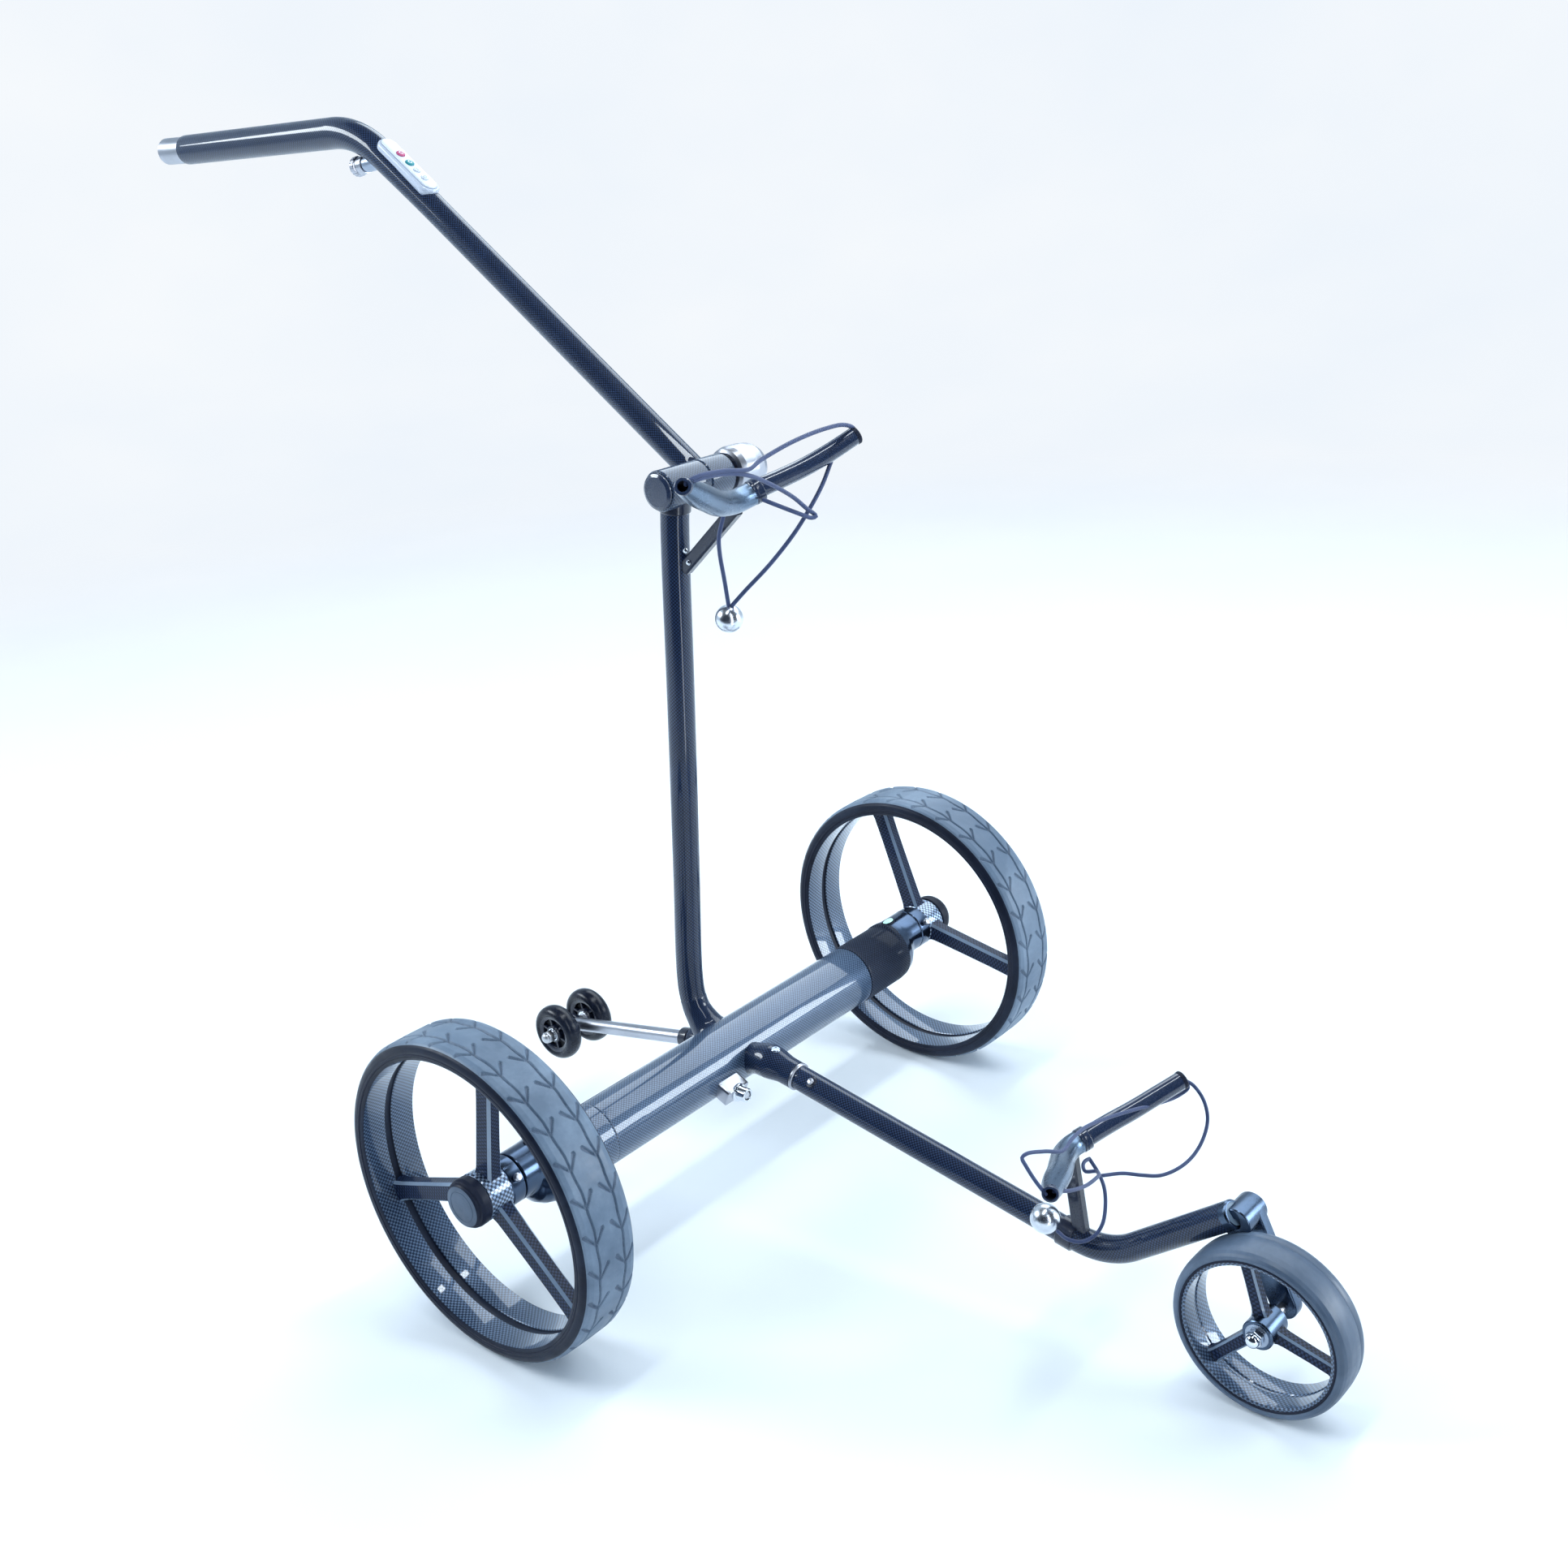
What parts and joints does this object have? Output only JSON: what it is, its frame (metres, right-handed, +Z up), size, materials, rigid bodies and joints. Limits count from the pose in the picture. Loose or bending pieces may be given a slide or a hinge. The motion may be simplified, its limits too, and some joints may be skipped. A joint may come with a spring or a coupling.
{
  "type": "electric golf trolley",
  "caption": "Electric golf trolley: motorised axle beam with spoked wheels, swept strut, folding handle, bag cradles, small front wheel and rear anti-tip wheels.",
  "frame": {"origin": "on the ground under the middle of the drive-wheel axle; the front wheel's contact face lies 553 mm ahead of it", "axes": "+X to the trolley's left along the axle, -Y forward towards the small front wheel, +Z up"},
  "size_m": [0.656, 1.3577, 0.9842],
  "materials": {
    "carbon": "fine twill carbon weave under clear coat",
    "dark_satin": "satin moulding",
    "chrome": "polished",
    "silver": "satin anodised",
    "tyre": "matt rubber tread",
    "gloss_black": "gloss moulding",
    "cord": "woven elastic cord",
    "steel": "ground",
    "battery": "shrink sleeve",
    "board": "circuit board",
    "lamp": "frosted lamp lens",
    "button_red": "soft touch",
    "button_green": "soft touch",
    "button_grey": "soft touch"
  },
  "bodies": {
    "frame": {"axle_tube": "carbon", "battery_pack": "battery", "motor_controller": "board", "left_end_sleeve": "dark_satin", "right_end_sleeve": "dark_satin", "left_status_light": "lamp", "right_status_light": "lamp", "left_motor": "steel", "right_motor": "steel", "strut": "carbon", "antitip_collar": "dark_satin", "hinge_fixed_knuckle": "carbon", "hinge_end_cap": "dark_satin", "hinge_pin": "steel", "upper_brace": "carbon", "upper_cradle": "carbon", "upper_cradle_arm": "carbon", "upper_cord": "cord", "upper_cord_ball": "chrome", "front_lug": "carbon", "lock_block": "chrome"},
    "left_axle": {"left_axle_shaft": "steel"},
    "right_axle": {"right_axle_shaft": "steel"},
    "left_drive_pinion": {"left_pinion": "steel"},
    "right_drive_pinion": {"right_pinion": "steel"},
    "left_drive_wheel": {"left_wheel": "carbon", "left_tyre": "tyre", "left_hub_cap": "dark_satin"},
    "right_drive_wheel": {"right_wheel": "carbon", "right_tyre": "tyre", "right_hub_cap": "dark_satin"},
    "left_pin": {"left_release_pin": "chrome"},
    "right_pin": {"right_release_pin": "chrome"},
    "handle": {"handle_tube": "carbon", "hinge_moving_knuckle": "carbon", "control_panel": "silver"},
    "dial": {"speed_dial": "silver"},
    "power": {"power_button": "button_red"},
    "go": {"go_button": "button_green"},
    "minus": {"minus_button": "button_grey"},
    "plus": {"plus_button": "button_grey"},
    "thumb": {"thumb_knob": "silver"},
    "clamp": {"clamp_knob": "silver"},
    "front_arm": {"front_tube": "carbon", "front_tube_cap": "dark_satin", "lower_post": "carbon", "lower_cradle": "carbon", "lower_cradle_arm": "carbon", "lower_cord": "cord", "lower_cord_ball": "chrome", "fork_arm": "carbon", "front_axle_bolt": "chrome"},
    "snap": {"snap_button": "chrome"},
    "front_wheel_set": {"front_wheel": "dark_satin", "front_tyre": "tyre"},
    "antitip": {"antitip_rod": "chrome"},
    "antitip_left": {"antitip_left_wheel": "gloss_black"},
    "antitip_right": {"antitip_right_wheel": "gloss_black"},
    "plunger": {"lock_plunger": "dark_satin"}
  },
  "joints": [
    {"name": "left_wheel_spin", "type": "hinge", "parent": "frame", "child": "left_axle", "pos_m": [0.2, 0, 0.145], "axis": [1, 0, 0], "continuous": true},
    {"name": "left_pinion_spin", "type": "hinge", "parent": "frame", "child": "left_drive_pinion", "pos_m": [0.2, 0, 0.1345], "axis": [1, 0, 0], "continuous": true},
    {"name": "left_wheel_pull", "type": "slide", "parent": "left_axle", "child": "left_drive_wheel", "axis": [1, 0, 0], "range_m": [0, 0.028]},
    {"name": "left_pin_press", "type": "slide", "parent": "left_drive_wheel", "child": "left_pin", "axis": [0, 0.866, -0.5], "range_m": [0, 0.0015], "stiffness_N_per_m": 400},
    {"name": "right_wheel_spin", "type": "hinge", "parent": "frame", "child": "right_axle", "pos_m": [-0.2, 0, 0.145], "axis": [1, 0, 0], "continuous": true},
    {"name": "right_pinion_spin", "type": "hinge", "parent": "frame", "child": "right_drive_pinion", "pos_m": [-0.2, 0, 0.1345], "axis": [1, 0, 0], "continuous": true},
    {"name": "right_wheel_pull", "type": "slide", "parent": "right_axle", "child": "right_drive_wheel", "axis": [-1, 0, 0], "range_m": [0, 0.028]},
    {"name": "right_pin_press", "type": "slide", "parent": "right_drive_wheel", "child": "right_pin", "axis": [0, 0.866, -0.5], "range_m": [0, 0.0015], "stiffness_N_per_m": 400},
    {"name": "handle_fold", "type": "hinge", "parent": "frame", "child": "handle", "pos_m": [0, -0.0011, 0.6707], "axis": [1, 0, 0], "range_deg": [-30, 105]},
    {"name": "clamp_knob_turn", "type": "hinge", "parent": "frame", "child": "clamp", "pos_m": [0.08, -0.0011, 0.6707], "axis": [1, 0, 0], "continuous": true},
    {"name": "speed_dial_turn", "type": "hinge", "parent": "handle", "child": "dial", "pos_m": [0.038, 0.712, 0.9676], "axis": [0, 1, 0], "range_deg": [-150, 150]},
    {"name": "thumb_knob_turn", "type": "hinge", "parent": "handle", "child": "thumb", "pos_m": [0.038, 0.4, 0.94112], "axis": [0, 0.994, -0.1093], "continuous": true},
    {"name": "power_press", "type": "slide", "parent": "handle", "child": "power", "axis": [0, 0.5976, -0.8018], "range_m": [0, 0.0012], "stiffness_N_per_m": 400},
    {"name": "go_press", "type": "slide", "parent": "handle", "child": "go", "axis": [0, 0.5976, -0.8018], "range_m": [0, 0.0012], "stiffness_N_per_m": 400},
    {"name": "minus_press", "type": "slide", "parent": "handle", "child": "minus", "axis": [0, 0.5976, -0.8018], "range_m": [0, 0.0012], "stiffness_N_per_m": 400},
    {"name": "plus_press", "type": "slide", "parent": "handle", "child": "plus", "axis": [0, 0.5976, -0.8018], "range_m": [0, 0.0012], "stiffness_N_per_m": 400},
    {"name": "front_tube_pull", "type": "slide", "parent": "frame", "child": "front_arm", "axis": [0, -0.9806, -0.1961], "range_m": [0, 0.02]},
    {"name": "snap_button_press", "type": "slide", "parent": "front_arm", "child": "snap", "axis": [0.6221, -0.0201, -0.7827], "range_m": [0, 0.0012], "stiffness_N_per_m": 400},
    {"name": "front_wheel_spin", "type": "hinge", "parent": "front_arm", "child": "front_wheel_set", "pos_m": [-0.016, -0.5534, 0.0717], "axis": [1, 0, 0], "continuous": true},
    {"name": "antitip_pull", "type": "slide", "parent": "frame", "child": "antitip", "axis": [0, 0.9823, -0.1871], "range_m": [0, 0.02]},
    {"name": "antitip_left_spin", "type": "hinge", "parent": "antitip", "child": "antitip_left", "pos_m": [0.0214, 0.2226, 0.0993], "axis": [1, 0, 0], "continuous": true},
    {"name": "antitip_right_spin", "type": "hinge", "parent": "antitip", "child": "antitip_right", "pos_m": [-0.0214, 0.2226, 0.0993], "axis": [1, 0, 0], "continuous": true},
    {"name": "lock_plunger_pull", "type": "slide", "parent": "frame", "child": "plunger", "axis": [0, -1, 0], "range_m": [0, 0.006], "stiffness_N_per_m": 400}
  ],
  "couplings": [
    {"joint": "left_pinion_spin", "follows": "left_wheel_spin", "ratio": -2},
    {"joint": "right_pinion_spin", "follows": "right_wheel_spin", "ratio": -2}
  ]
}
